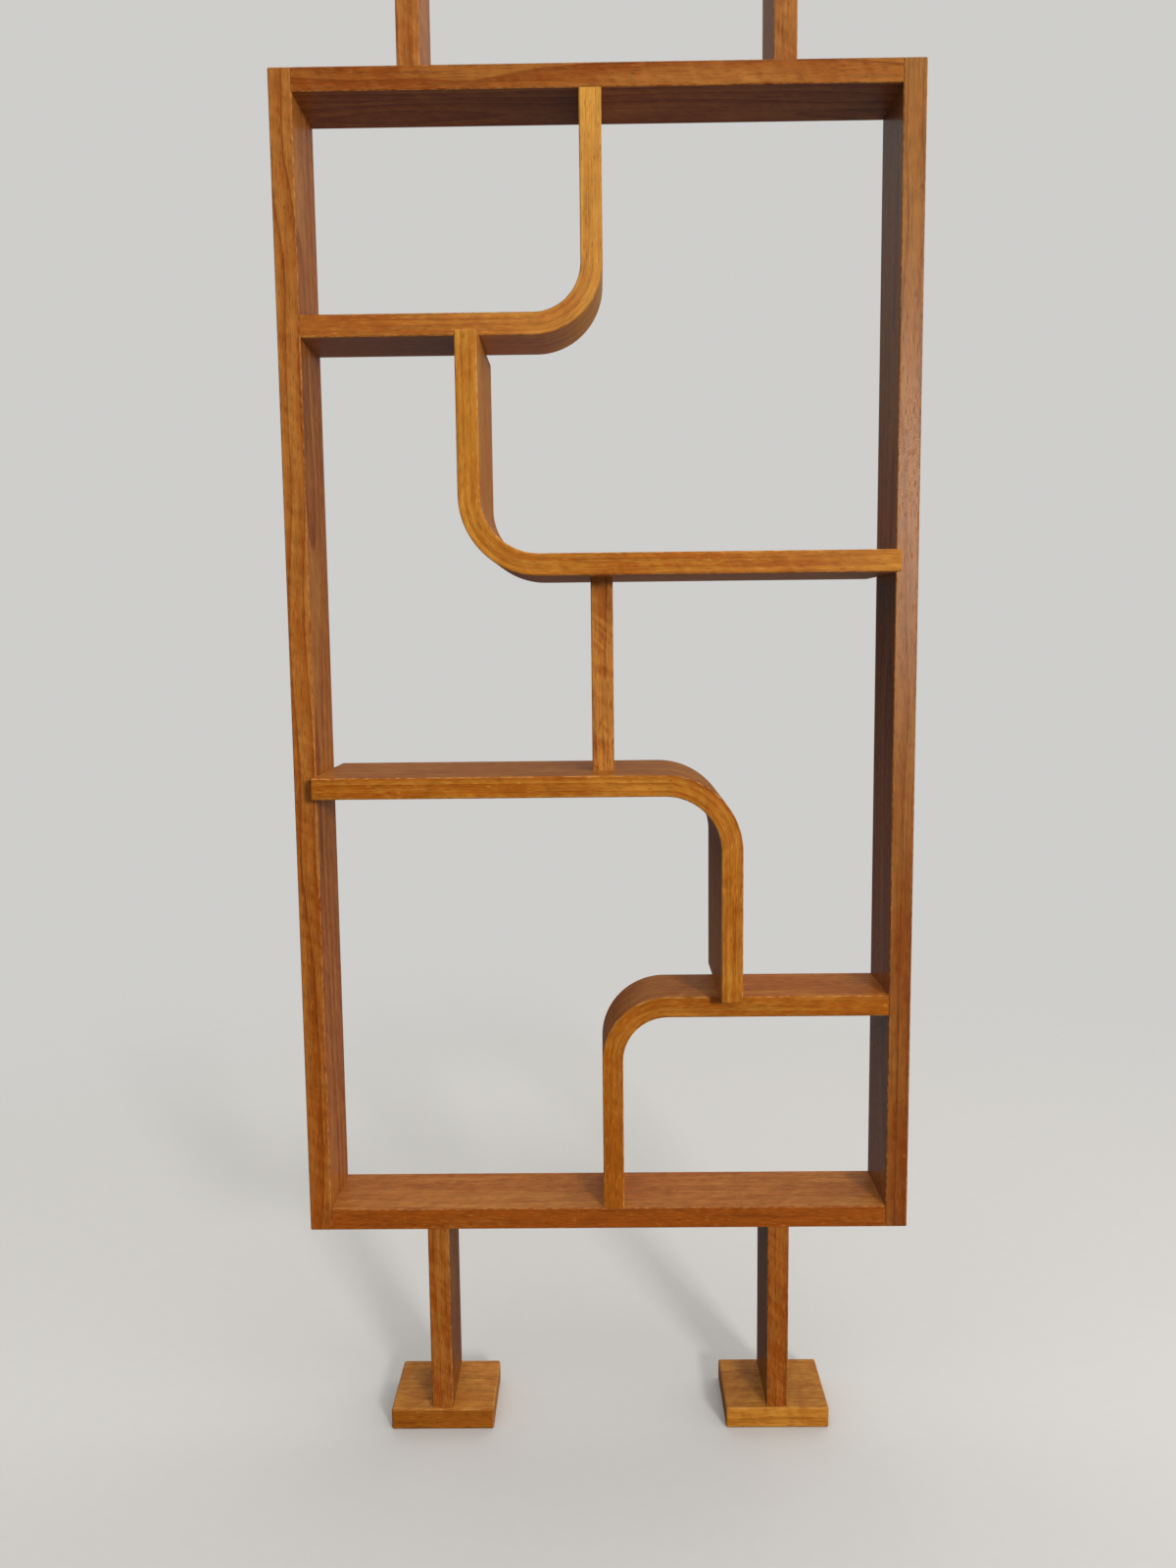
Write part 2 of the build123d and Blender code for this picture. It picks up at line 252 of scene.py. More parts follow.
def make_wood_figure():
    """Rings, tongues, fibres, flecks and uneven stain of a board, from the place on it."""
    inputs = {
        "Place": ORIGIN, "Seed": 1.0, "Light": [0.5, 0.3, 0.1, 1.0],
        "Middle": [0.4, 0.2, 0.05, 1.0], "Dark": [0.2, 0.08, 0.02, 1.0], "Ring Spacing": 0.008,
        "Sway": 0.02, "Ring Depth": 0.4, "Golden": 0.5, "Golden Slope": 0.0, "Flame": 0.1,
        "Tone": 1.0,
    }
    outputs = {"Color": COLOUR, "Gloss": FLOAT, "Height": FLOAT}
    tree, given, out = new_group("Wood Figure", inputs, outputs)
    place = shifted(tree, given["Place"], (3.7, 0.91, 0.57), given["Seed"])
    along, over, into = split(tree, given["Place"])

    # how strongly each part of the figure gilds, darkens, pales, lifts, dulls and raises the wood
    patch_gold, broad_gold, tongue_gold, middle_gold = 0.4, 0.3, 1.3, 0.6
    streak_dark, fleck_dark, fleck_pale = 0.45, 0.42, 0.36
    fibre_lift, mottle_lift, base_lift = 0.5, 0.54, 0.47
    fibre_gloss, patch_gloss, fleck_gloss = 0.14, 0.16, 0.2
    fibre_height, streak_height, fleck_depth = 0.7, 0.5, 0.6

    # rings round a heart that lies outside the board, in metres from its middle
    heart_over, heart_into, sway_reach = 0.031, 0.055, 2.0
    sway = noise(tree, place, (2.3, 9.0, 9.0), detail=1.5, output="Color")
    sway = vector(tree, "SUBTRACT", sway, (0.5, 0.5, 0.5))
    _, sway_over, sway_into = split(tree, scaled(tree, sway, given["Sway"]))
    from_heart = diagonal(
        tree,
        total(tree, over, heart_over, times(tree, sway_over, sway_reach)),
        total(tree, into, heart_into, times(tree, sway_into, sway_reach)),
    )
    rings = number(tree, "DIVIDE", from_heart, given["Ring Spacing"])
    phase = number(tree, "FRACT", rings)
    late = times(tree, step(tree, phase, 0.78, 0.96), step(tree, phase, 1.0, 0.97))
    ring_step, ring_spread, least_ring = 7.31, 0.8, 0.6
    ring_seed = times(tree, number(tree, "FLOOR", rings), ring_step)
    ring_inputs = {"Vector": joined(tree, ring_seed, given["Seed"])}
    ring_tone = add(tree, "ShaderNodeTexWhiteNoise", ring_inputs).outputs["Value"]
    ring_tone = total(tree, times(tree, ring_tone, ring_spread), least_ring)
    tongue = times(tree, step(tree, phase, 1.0, 0.1), ring_tone)

    # figure along the grain, from the finest to the broadest
    fibres = noise(tree, place, (34.0, 1300.0, 1300.0))
    flecks = noise(tree, place, (90.0, 900.0, 900.0), detail=0.0)
    streaks = noise(tree, place, (8.0, 330.0, 330.0), detail=4.0, rough=0.65)
    mottle = noise(tree, place, (55.0, 120.0, 120.0), detail=3.0, rough=0.6)
    patches = noise(tree, place, (9.0, 75.0, 75.0), detail=4.0, rough=0.6, distortion=0.3)
    broad = noise(tree, place, (2.2, 7.0, 7.0), detail=1.0)

    # flames that lean across the grain
    lean_over, lean_into = 0.5, 0.7
    lean = number(tree, "MULTIPLY_ADD", over, lean_over, along)
    lean = number(tree, "MULTIPLY_ADD", into, lean_into, lean)
    leaning = joined(tree, lean, total(tree, over, given["Seed"]), into)
    flames = noise(tree, leaning, (46.0, 24.0, 16.0), detail=3.0, rough=0.55, distortion=1.1)
    flames = minus(tree, step(tree, flames, 0.4, 0.6), 0.5)

    golden = total(
        tree,
        times(tree, step(tree, patches, 0.3, 0.7), patch_gold),
        times(tree, step(tree, broad, 0.3, 0.7), broad_gold),
        times(tree, tongue, given["Ring Depth"], tongue_gold),
        times(tree, along, given["Golden Slope"]),
        times(tree, flames, given["Flame"]),
        minus(tree, given["Golden"], middle_gold),
        clamp=True,
    )
    shade = total(
        tree,
        times(tree, late, given["Ring Depth"]),
        times(tree, step(tree, streaks, 0.45, 0.75), streak_dark),
        clamp=True,
    )
    dash = times(tree, step(tree, flecks, 0.62, 0.72), fleck_dark)
    pale = times(tree, step(tree, flecks, 0.36, 0.26), fleck_pale)
    colour = blend(tree, golden, given["Middle"], given["Light"])
    colour = blend(tree, shade, colour, given["Dark"])
    colour = blend(tree, dash, colour, given["Dark"])
    colour = blend(tree, pale, colour, given["Light"])
    lift = total(
        tree, times(tree, fibres, fibre_lift), times(tree, mottle, mottle_lift), base_lift,
    )
    feed(tree, out["Color"], scaled(tree, colour, times(tree, lift, given["Tone"])))

    gloss = total(
        tree,
        times(tree, fibres, fibre_gloss),
        times(tree, patches, patch_gloss),
        times(tree, dash, fleck_gloss),
    )
    feed(tree, out["Gloss"], gloss)
    height = minus(tree, times(tree, fibres, fibre_height), times(tree, dash, fleck_depth))
    feed(tree, out["Height"], total(tree, height, times(tree, streaks, streak_height)))
    return tree


def make_arris_wear():
    """Rubbed and darkened lines near the edges of a piece of the given half sizes."""
    inputs = {"Place": ORIGIN, "Half Size": (0.5, 0.05, 0.012), "Width": 0.003, "Seed": 1.0}
    tree, given, out = new_group("Arris Wear", inputs, {"Rubbed": FLOAT, "Stained": FLOAT})
    place = shifted(tree, given["Place"], (1.3, 2.9, 0.7), given["Seed"])
    broken = noise(tree, place, (26.0, 60.0, 60.0), detail=3.0, rough=0.65)
    fine = noise(tree, place, (140.0, 420.0, 420.0))

    # an edge is where two of the three distances to the faces are small
    away = vector(tree, "SUBTRACT", given["Half Size"], vector(tree, "ABSOLUTE", given["Place"]))
    x, y, z = split(tree, vector(tree, "MAXIMUM", away, ORIGIN))
    edge = greater(tree, lesser(tree, x, y), lesser(tree, greater(tree, x, y), z))

    spread, least, stain_reach = 1.5, 0.1, 0.55
    width = times(tree, given["Width"], total(tree, times(tree, broken, spread), least))
    ratio = number(tree, "DIVIDE", edge, width)
    band = times(tree, step(tree, ratio, 1.0, 0.7), step(tree, ratio, 0.25, 0.5))
    feed(tree, out["Rubbed"], times(tree, band, step(tree, fine, 0.42, 0.62)))
    close = number(tree, "DIVIDE", edge, times(tree, given["Width"], stain_reach))
    uneven = step(tree, fine, 0.62, 0.42, 0.35, 1.0)
    feed(tree, out["Stained"], times(tree, step(tree, close, 1.0, 0.4), uneven))
    return tree


def make_glue_lines():
    """Thin layers of a laminated strip, seen on its front and back edges."""
    inputs = {
        "Place": ORIGIN, "Facing": AXES["y"], "Thickness": STRIP_THICKNESS,
        "Layers": STRIP_LAYERS, "Seed": 1.0,
    }
    tree, given, out = new_group("Glue Lines", inputs, {"Line": FLOAT, "Layer Tone": FLOAT})
    along, _, through = split(tree, given["Place"])
    facing = number(tree, "ABSOLUTE", split(tree, given["Facing"])["Y"])
    on_edge = step(tree, facing, 0.5, 0.9)

    wander_reach = 0.012
    wander = noise(tree, given["Place"], (11.0, 0.0, 60.0), detail=1.0)
    level = number(tree, "DIVIDE", through, given["Thickness"])
    level = total(tree, level, 0.5, times(tree, wander, wander_reach))
    level = times(tree, level, given["Layers"])
    from_middle = number(tree, "ABSOLUTE", minus(tree, number(tree, "FRACT", level), 0.5))
    line = times(tree, step(tree, from_middle, 0.4, 0.5), on_edge)
    patchy = noise(tree, given["Place"], (22.0, 0.0, 300.0))
    feed(tree, out["Line"], times(tree, line, step(tree, patchy, 0.3, 0.62)))

    layer = total(tree, number(tree, "FLOOR", level), given["Seed"])
    tone = noise(tree, joined(tree, along, layer), (5.0, 3.7, 1.0), detail=1.0)
    feed(tree, out["Layer Tone"], times(tree, minus(tree, tone, 0.5), on_edge))
    return tree


def make_metal_wear():
    """Fine scratches, dull spots and dirt of plated steel."""
    inputs = {
        "Position": ORIGIN, "Bright": [0.6, 0.6, 0.6, 1.0], "Dull": [0.3, 0.3, 0.3, 1.0],
        "Seed": 1.0,
    }
    outputs = {"Color": COLOUR, "Roughness": FLOAT, "Height": FLOAT}
    tree, given, out = new_group("Metal Wear", inputs, outputs)
    place = shifted(tree, given["Position"], (0.9, 1.7, 2.3), given["Seed"])
    spangle_dull, spot_dull = 0.3, 0.6
    least_rough, dirt_rough, scratch_rough = 0.12, 0.25, 0.16
    dirt_height, scratch_height = 0.5, 0.6
    cells = {"Vector": place, "Scale": 420.0}
    spangle = add(tree, "ShaderNodeTexVoronoi", cells).outputs["Color"]
    spangle = add(tree, "ShaderNodeRGBToBW", {0: spangle}).outputs[0]
    scratch = noise(tree, place, (90.0, 2600.0, 700.0))
    dirt = noise(tree, place, (160.0, 160.0, 160.0), detail=4.0, rough=0.6)
    spots = times(tree, step(tree, dirt, 0.5, 0.75), spot_dull)
    dull = total(tree, times(tree, spangle, spangle_dull), spots, clamp=True)
    feed(tree, out["Color"], blend(tree, dull, given["Bright"], given["Dull"]))
    rough = total(
        tree, times(tree, dirt, dirt_rough), times(tree, scratch, scratch_rough), least_rough,
    )
    feed(tree, out["Roughness"], rough)
    height = total(tree, times(tree, scratch, scratch_height), times(tree, dirt, dirt_height))
    feed(tree, out["Height"], height)
    return tree


GROUP_MAKERS = {
    "Straight Grain": make_straight_grain,
    "Bent Grain": make_bent_grain,
    "Wood Figure": make_wood_figure,
    "Arris Wear": make_arris_wear,
    "Glue Lines": make_glue_lines,
    "Metal Wear": make_metal_wear,
}


def effect(tree, name, inputs):
    """Puts a shared group, built the first time, in a material with that material's values."""
    made = tree.nodes.new("ShaderNodeGroup")
    made.node_tree = bpy.data.node_groups.get(name) or GROUP_MAKERS[name]()
    for key, value in inputs.items():
        feed(tree, made.inputs[key], value)
    return made.outputs


# Materials

def opaque(colour):
    """A colour that hides what is behind it."""
    return (*colour, 1.0)


def new_material(name):
    """A material with an empty tree, its surface shader and the object's own coordinates."""
    made = bpy.data.materials.new(name)
    made.use_nodes = True
    tree = made.node_tree
    tree.nodes.clear()
    shader = tree.nodes.new("ShaderNodeBsdfPrincipled")
    output = tree.nodes.new("ShaderNodeOutputMaterial")
    tree.links.new(shader.outputs[0], output.inputs["Surface"])
    coordinates = tree.nodes.new("ShaderNodeTexCoord")
    return made, tree, shader, coordinates.outputs


def bumped(tree, shader, height, strength, distance):
    """Gives a surface shader bumps, with their distance in metres."""
    inputs = {"Height": height, "Strength": strength, "Distance": distance}
    bump = add(tree, "ShaderNodeBump", inputs)
    feed(tree, shader.inputs["Normal"], bump.outputs[0])


def corners(node):
    """Lowest and highest corner of a CAD node."""
    low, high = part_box(node)
    return Vector(low), Vector(high)


def dress(node, material):
    """Gives a CAD node its material through the slots of its object."""
    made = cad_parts[node]
    for place in made.material_slots:
        place.link = "OBJECT"
        place.material = material


def painted_facing_shade(tree, normal, value, change):
    """Adds painted light and shade, if any, to a value where the wood faces the front or the back.
    """
    if change is None:
        return value
    facing = number(tree, "ABSOLUTE", split(tree, normal)["Y"])
    return number(tree, "MULTIPLY_ADD", facing, change, value)


def lacquered_wood(node, finish, grain, grain_inputs, look):
    """Gives a node wood figure along its grain, rubbed arrises and satin lacquer.

    A look gives the piece's seed and half sizes, and what it has other than its finish. Its
    changes to gold and tone for the front and the back are painted light and shade on those faces.
    """
    made, tree, shader, given = new_material(node + "_wood")
    place = effect(tree, grain, {"Position": given["Object"], **grain_inputs})["Place"]
    look = {
        "golden": 0.5, "slope": 0.0, "tone": 1.0, "shine": 0.15, "ring_depth": finish.ring_depth,
        "flame": finish.flame, "roughness": finish.roughness, **look,
    }
    glue_dark, layer_swing, stain_dark, rub_pale = 0.35, 0.5, 0.72, 0.34
    middle_gloss, rub_rough, rub_depth, coat_rough = 0.15, 0.15, 0.4, 0.3
    seed, dark = look["seed"], opaque(finish.dark)
    # painted light and shade: fronts and backs get their own gold and tone, unlike the tops and
    # sides
    golden = painted_facing_shade(tree, given["Normal"], look["golden"], look.get("edge_golden"))
    tone = painted_facing_shade(tree, given["Normal"], look["tone"], look.get("edge_tone"))
    figure = effect(tree, "Wood Figure", {
        "Place": place, "Seed": seed, "Light": opaque(finish.light),
        "Middle": opaque(finish.middle), "Dark": dark, "Ring Spacing": finish.ring_spacing,
        "Sway": finish.sway, "Ring Depth": look["ring_depth"], "Golden": golden,
        "Golden Slope": look["slope"], "Flame": look["flame"], "Tone": tone,
    })
    wear = effect(tree, "Arris Wear", {
        "Place": place, "Half Size": look["half"], "Width": finish.wear_width, "Seed": seed,
    })
    colour = figure["Color"]
    if "layers" in look:
        glue = effect(tree, "Glue Lines", {
            "Place": place, "Facing": given["Normal"], "Thickness": 2 * look["half"][2],
            "Layers": look["layers"], "Seed": seed,
        })
        colour = blend(tree, times(tree, glue["Line"], glue_dark), colour, dark)
        lift = total(tree, times(tree, glue["Layer Tone"], layer_swing), 1.0)
        colour = scaled(tree, colour, lift)
    colour = blend(tree, times(tree, wear["Stained"], stain_dark), colour, dark)
    colour = blend(tree, times(tree, wear["Rubbed"], rub_pale), colour, opaque(finish.worn))
    feed(tree, shader.inputs["Base Color"], colour)
    rough = total(
        tree,
        figure["Gloss"],
        look["roughness"] - middle_gloss,
        times(tree, wear["Rubbed"], rub_rough),
    )
    feed(tree, shader.inputs["Roughness"], rough)
    height = minus(tree, figure["Height"], times(tree, wear["Rubbed"], rub_depth))
    bumped(tree, shader, height, strength=0.35, distance=0.0003)
    shader.inputs["Coat Weight"].default_value = finish.coat
    shader.inputs["Coat Roughness"].default_value = coat_rough
    shader.inputs["Specular IOR Level"].default_value = look["shine"]
    dress(node, made)


def straight_wood(node, finish, along, through, **look):
    """Lacquered wood for a straight piece with its grain along one axis."""
    low, high = corners(node)
    across = next(axis for axis in "xyz" if axis not in (along, through))
    half = [getattr(high - low, axis) / 2 for axis in (along, across, through)]
    inputs = {"Centre": (low + high) / 2, "Along": AXES[along], "Through": AXES[through]}
    lacquered_wood(node, finish, "Straight Grain", inputs, {"half": half, **look})


def bent_wood(node, finish, radius, up, right, **look):
    """Lacquered laminated wood whose layers follow a bend, up or down, at either end."""
    low, high = corners(node)
    inset = STRIP_THICKNESS + radius
    inputs = {
        "Arc Centre": (
            high.x - inset if right else low.x + inset,
            (low.y + high.y) / 2,
            low.z + inset if up else high.z - inset,
        ),
        "Turn": (1.0 if right else -1.0, 1.0, -1.0 if up else 1.0),
        "Radius": radius + STRIP_THICKNESS / 2,
    }
    # longer than any strip, so that no wear shows across its ends
    endless = 5.0
    half = (endless, (high.y - low.y) / 2, STRIP_THICKNESS / 2)
    look = {"half": half, "layers": STRIP_LAYERS, **look}
    lacquered_wood(node, finish, "Bent Grain", inputs, look)


def plated_steel(name, metal, seed):
    """Zinc-plated steel with a dull spangle and fine scratches."""
    made, tree, shader, given = new_material(name)
    wear = effect(tree, "Metal Wear", {
        "Position": given["Object"], "Bright": opaque(metal.bright), "Dull": opaque(metal.dull),
        "Seed": seed,
    })
    feed(tree, shader.inputs["Base Color"], wear["Color"])
    feed(tree, shader.inputs["Roughness"], wear["Roughness"])
    bumped(tree, shader, wear["Height"], strength=0.3, distance=0.0001)
    shader.inputs["Metallic"].default_value = 1.0
    return made


def pressed_felt(felt):
    """Dense felt with matted fibres."""
    made, tree, shader, given = new_material("pressed_felt")
    place = given["Object"]
    fibres = noise(tree, place, (900.0, 900.0, 900.0), detail=4.0, rough=0.75, distortion=1.2)
    mottle = noise(tree, place, (120.0, 120.0, 120.0), detail=3.0)
    fibre_share, mottle_share = 0.7, 0.4
    mixed = total(
        tree, times(tree, fibres, fibre_share), times(tree, mottle, mottle_share), clamp=True,
    )
    colour = blend(tree, mixed, opaque(felt.shade), opaque(felt.nap))
    feed(tree, shader.inputs["Base Color"], colour)
    feed(tree, shader.inputs["Roughness"], step(tree, fibres, 0.2, 0.8, 0.8, 1.0))
    bumped(tree, shader, mixed, strength=0.8, distance=0.0006)
    shader.inputs["Sheen Weight"].default_value = 0.4
    shader.inputs["Sheen Roughness"].default_value = 0.6
    return made


# Settings

def colour_setting(name, description, default):
    """A colour that a user can change."""
    return FloatVectorProperty(
        name=name, description=description, subtype="COLOR", size=3, min=0, max=1, default=default,
    )


def length_setting(name, description, default, least=0.0):
    """A length that a user can change, in metres."""
    return FloatProperty(
        name=name, description=description, subtype="DISTANCE", unit="LENGTH", default=default,
        min=least,
    )


def share_setting(name, description, default):
    """A share that a user can change, from none to all."""
    return FloatProperty(
        name=name, description=description, subtype="FACTOR", default=default, min=0, max=1,
    )


def strength_setting(name, description, default):
    """A strength of light that a user can change."""
    return FloatProperty(name=name, description=description, default=default, min=0)


def piece_setting(kind, name, description):
    """The settings of one kind of piece."""
    return PointerProperty(type=kind, name=name, description=description)


class WoodFinish(bpy.types.PropertyGroup):
    """Colours, figure and lacquer of one kind of wood"""
    light: colour_setting("Light", "Colour of the palest wood", (0.45, 0.178, 0.032))
    middle: colour_setting("Middle", "Main colour of the stained wood", (0.28, 0.064, 0.005))
    dark: colour_setting("Dark", "Colour of rings and stained edges", (0.11, 0.022, 0.003))
    worn: colour_setting("Worn", "Colour of rubbed arrises", (0.60, 0.30, 0.10))
    ring_spacing: length_setting("Ring Spacing", "Distance between growth rings", 0.014, 0.001)
    sway: length_setting("Sway", "How far the rings wander", 0.03)
    ring_depth: share_setting("Ring Depth", "How dark the rings are", 0.3)
    wear_width: length_setting("Wear Width", "Width of the rubbed line on an arris", 0.0016)
    flame: share_setting("Flame", "Strength of the cross figure", 0.2)
    roughness: share_setting("Roughness", "Roughness of the satin lacquer", 0.35)
    coat: share_setting("Coat", "Strength of the clear coat", 0.08)


class MetalFinish(bpy.types.PropertyGroup):
    """Plating and thread of the jacks and screws"""
    bright: colour_setting("Bright", "Colour of clean plating", (0.62, 0.61, 0.58))
    dull: colour_setting("Dull", "Colour of dull plating", (0.34, 0.33, 0.31))
    thread_pitch: length_setting("Thread Pitch", "Rise of the thread in a turn", 0.00175, 0.0005)
    thread_depth: length_setting("Thread Depth", "Depth of the thread", 0.00095, 0.0001)
    thread_steps: IntProperty(
        name="Thread Steps", description="Faces round one turn of the thread", default=28, min=8,
    )


class FeltFinish(bpy.types.PropertyGroup):
    """Colours of the pressed felt"""
    nap: colour_setting("Nap", "Colour of the raised fibres", (0.085, 0.066, 0.052))
    shade: colour_setting("Shade", "Colour between the fibres", (0.028, 0.021, 0.017))


class StageSettings(bpy.types.PropertyGroup):
    """Floor, light and lens"""
    floor: colour_setting("Floor", "Colour of the floor", (0.58, 0.575, 0.56))
    backdrop: colour_setting("Backdrop", "Colour seen behind the divider", (0.62, 0.615, 0.60))
    floor_radius: length_setting("Floor Radius", "Where the floor has faded out", 2.3, 0.5)
    floor_light: strength_setting("Floor Light", "Least even light from below", 0.1)
    room_light: strength_setting("Room Light", "Even light from all sides", 0.17)
    ceiling_light: strength_setting("Ceiling Light", "Light added straight above", 1.02)
    back_light: strength_setting("Back Light", "Light added behind the divider", 0.4)
    side_light: strength_setting("Side Light", "Light added on the right", 0.55)
    side_shade: strength_setting("Side Shade", "Light taken off on the left", 0.3)
    sheen: strength_setting("Sheen", "Strength of the lamp's patch in reflections", 12.0)
    front_gloss: share_setting("Front Gloss", "How bright the room in front is in reflections", 0.7)
    back_gloss: share_setting("Back Gloss", "How bright the room behind is in reflections", 0.6)
    floor_gloss: share_setting("Floor Gloss", "How bright the floor is in reflections", 0.18)
    key_light: FloatProperty(
        name="Key Light", description="Power of the main lamp", subtype="POWER", unit="POWER",
        default=158.0, min=0,
    )
    focal_length: FloatProperty(
        name="Focal Length", description="Focal length of the camera", subtype="DISTANCE_CAMERA",
        default=29.013, min=1,
    )


class DividerSettings(bpy.types.PropertyGroup):
    """All that a user can change on the divider"""
    frame_wood: piece_setting(WoodFinish, "Frame", "Wood of the boards, rails and centre post")
    bent: piece_setting(WoodFinish, "Bent Shelves", "Wood of the laminated shelves")
    post_wood: piece_setting(WoodFinish, "Posts", "Wood of the legs and upper posts")
    block_wood: piece_setting(WoodFinish, "Blocks", "Wood of the feet and ceiling blocks")
    dowel_wood: piece_setting(WoodFinish, "Dowels", "Wood of the dowels")
    metal: piece_setting(MetalFinish, "Jacks", "Steel of the jacks and screws")
    felt: piece_setting(FeltFinish, "Felt", "Felt of the ceiling faces")
    stage: piece_setting(StageSettings, "Stage", "Floor, light and camera")


def set_finish(finish, **values):
    """Gives a finish its own values in place of the defaults."""
    for name, value in values.items():
        setattr(finish, name, value)


# Operators

class DIVIDER_OT_frame_boards(bpy.types.Operator):
    """Finish the side boards, the rails and the centre post"""
    bl_idname = "divider.frame_boards"
    bl_label = "Frame Boards"

    def execute(self, context):
        finish = context.scene.divider.frame_wood
        # painted shade: on the left board and the bottom rail the fronts and backs are darker than
        # the sides and top
        straight_wood("left_side_board", finish, "z", "x", seed=3.0, golden=0.45, slope=0.25,
                      tone=1.06, edge_tone=-0.14)
        straight_wood("right_side_board", finish, "z", "x", seed=11.0, golden=0.6, slope=0.85,
                      flame=0.1, tone=0.7, roughness=0.24, shine=0.4)
        straight_wood("top_rail", finish, "x", "z", seed=5.0, golden=0.28, slope=0.3, tone=0.88)
        straight_wood("bottom_rail", finish, "x", "z", seed=7.0, golden=0.8, edge_golden=-0.78,
                      slope=0.2, tone=1.12, edge_tone=-0.18, ring_depth=0.12, flame=0.16)
        straight_wood("centre_post", finish, "z", "x", seed=9.0, golden=0.85, flame=0.8)
        return {"FINISHED"}


class DIVIDER_OT_bent_shelves(bpy.types.Operator):
    """Finish the four bent shelves so that grain and layers follow each bend"""
    bl_idname = "divider.bent_shelves"
    bl_label = "Bent Shelves"

    def execute(self, context):
        finish = context.scene.divider.bent
        set_finish(finish, light=(0.62, 0.29, 0.040), middle=(0.36, 0.097, 0.006),
                   dark=(0.17, 0.036, 0.002), worn=(0.72, 0.42, 0.14), ring_spacing=0.006,
                   sway=0.004, ring_depth=0.16, flame=0.14)
        # painted shade: three of the shelves have fronts and backs darker than their tops and
        # undersides
        looks = {
            "upper_short": dict(seed=21.0, golden=0.66, slope=2.4, tone=0.97, shine=0.45),
            "upper_long": dict(seed=25.0, golden=0.48, slope=0.2, tone=1.07, edge_tone=-0.13),
            "lower_short": dict(seed=29.0, golden=0.1, slope=-0.2, tone=1.1, edge_tone=-0.24),
            "lower_long": dict(seed=33.0, golden=0.36, slope=0.1, tone=1.04, edge_tone=-0.14),
        }
        for name, look in looks.items():
            level, kind = name.split("_")
            up = level == "upper"
            right = up == (kind == "short")
            bent_wood(f"{name}_bend", finish, INNER_RADIUS[kind], up, right, **look)
        return {"FINISHED"}


class DIVIDER_OT_posts(bpy.types.Operator):
    """Finish the legs and the upper posts"""
    bl_idname = "divider.posts"
    bl_label = "Legs and Posts"

    def execute(self, context):
        finish = context.scene.divider.post_wood
        set_finish(finish, ring_depth=0.16, flame=0.3)
        # painted shade on the sides of the legs, and a painted sheen on the sides of the upper
        # posts, brighter on the left post
        for place, (side, side_sheen_tone) in enumerate(zip(SIDES, (1.2, 1.03))):
            straight_wood(f"{side}_leg", finish, "z", "x", seed=41.0 + place, golden=0.38,
                          tone=0.62, edge_tone=0.27)
            straight_wood(f"{side}_upper_post", finish, "z", "x", seed=45.0 + place, golden=0.62,
                          tone=side_sheen_tone, edge_tone=-0.18, shine=0.3)
        return {"FINISHED"}


class DIVIDER_OT_blocks(bpy.types.Operator):
    """Finish the feet and the ceiling blocks"""
    bl_idname = "divider.blocks"
    bl_label = "Feet and Ceiling Blocks"

    def execute(self, context):
        finish = context.scene.divider.block_wood
        set_finish(finish, ring_depth=0.12, flame=0.35, ring_spacing=0.012,
                   light=(0.52, 0.22, 0.028), middle=(0.36, 0.105, 0.008))
        # painted light and shade: the fronts and backs of the feet are shaded differently from
        # their tops
        foot_looks = (
            dict(seed=51.0, golden=0.85, edge_golden=-0.85, tone=1.0, edge_tone=-0.22),
            dict(seed=54.0, golden=0.66, edge_golden=-0.11, tone=0.9, edge_tone=0.1),
        )
        for place, (side, look) in enumerate(zip(SIDES, foot_looks)):
            straight_wood(f"{side}_foot", finish, "x", "z", **look)
            straight_wood(f"{side}_ceiling_block", finish, "x", "z", seed=57.0 + 3 * place)
        return {"FINISHED"}


class DIVIDER_OT_dowels(bpy.types.Operator):
    """Finish the hidden dowels in bare beech"""
    bl_idname = "divider.dowels"
    bl_label = "Dowels"

    def execute(self, context):
        finish = context.scene.divider.dowel_wood
        set_finish(finish, light=(0.62, 0.42, 0.24), middle=(0.52, 0.33, 0.17),
                   dark=(0.33, 0.18, 0.08), worn=(0.7, 0.5, 0.3), ring_spacing=0.003, sway=0.004,
                   ring_depth=0.2, coat=0.0, roughness=0.6)
        for place, kind in enumerate(("frame_corner", "short_bend", "long_bend")):
            straight_wood(f"{kind}_dowels", finish, "x", "z", seed=61.0 + place)
        return {"FINISHED"}


def new_piece(name, work, smooth_below=0.0):
    """A new object from a finished bmesh, smooth where its faces meet at less than an angle."""
    mesh = bpy.data.meshes.new(name)
    work.normal_update()
    work.to_mesh(mesh)
    work.free()
    if smooth_below:
        for face in mesh.polygons:
            face.use_smooth = True
        mesh.set_sharp_from_angle(angle=math.radians(smooth_below))
    made = bpy.data.objects.new(name, mesh)
    bpy.context.scene.collection.objects.link(made)
    return made


def carry(made, node, body, material):
    """Puts a detailed piece in the place of a CAD node."""
    made.data.materials.append(material)
    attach(made, body)
    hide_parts(node)


def ring(work, centre, radii, z):
    """A closed ring of points round a vertical axis, one for each radius."""
    made = []
    for turn, radius in enumerate(radii):
        angle = 2 * math.pi * turn / len(radii)
        x, y = centre[0] + radius * math.cos(angle), centre[1] + radius * math.sin(angle)
        made.append(work.verts.new((x, y, z)))
    return made


def bridge(work, rings):
    """Faces between each ring and the next, the last of which may be a single point."""
    for below, above in zip(rings, rings[1:]):
        for turn, here in enumerate(below):
            after = (turn + 1) % len(below)
            face = (here, below[after], above[after % len(above)], above[turn % len(above)])
            work.faces.new(list(dict.fromkeys(face)))


def thread_radius(phase, crest, depth):
    """Radius of a rounded V thread at a phase from 0 to 1 of its pitch."""
    flat = 0.12
    rise = min(phase, 1 - phase) * 2
    level = min(max((rise - flat) / (1 - 2 * flat), 0.0), 1.0)
    return crest - depth * level


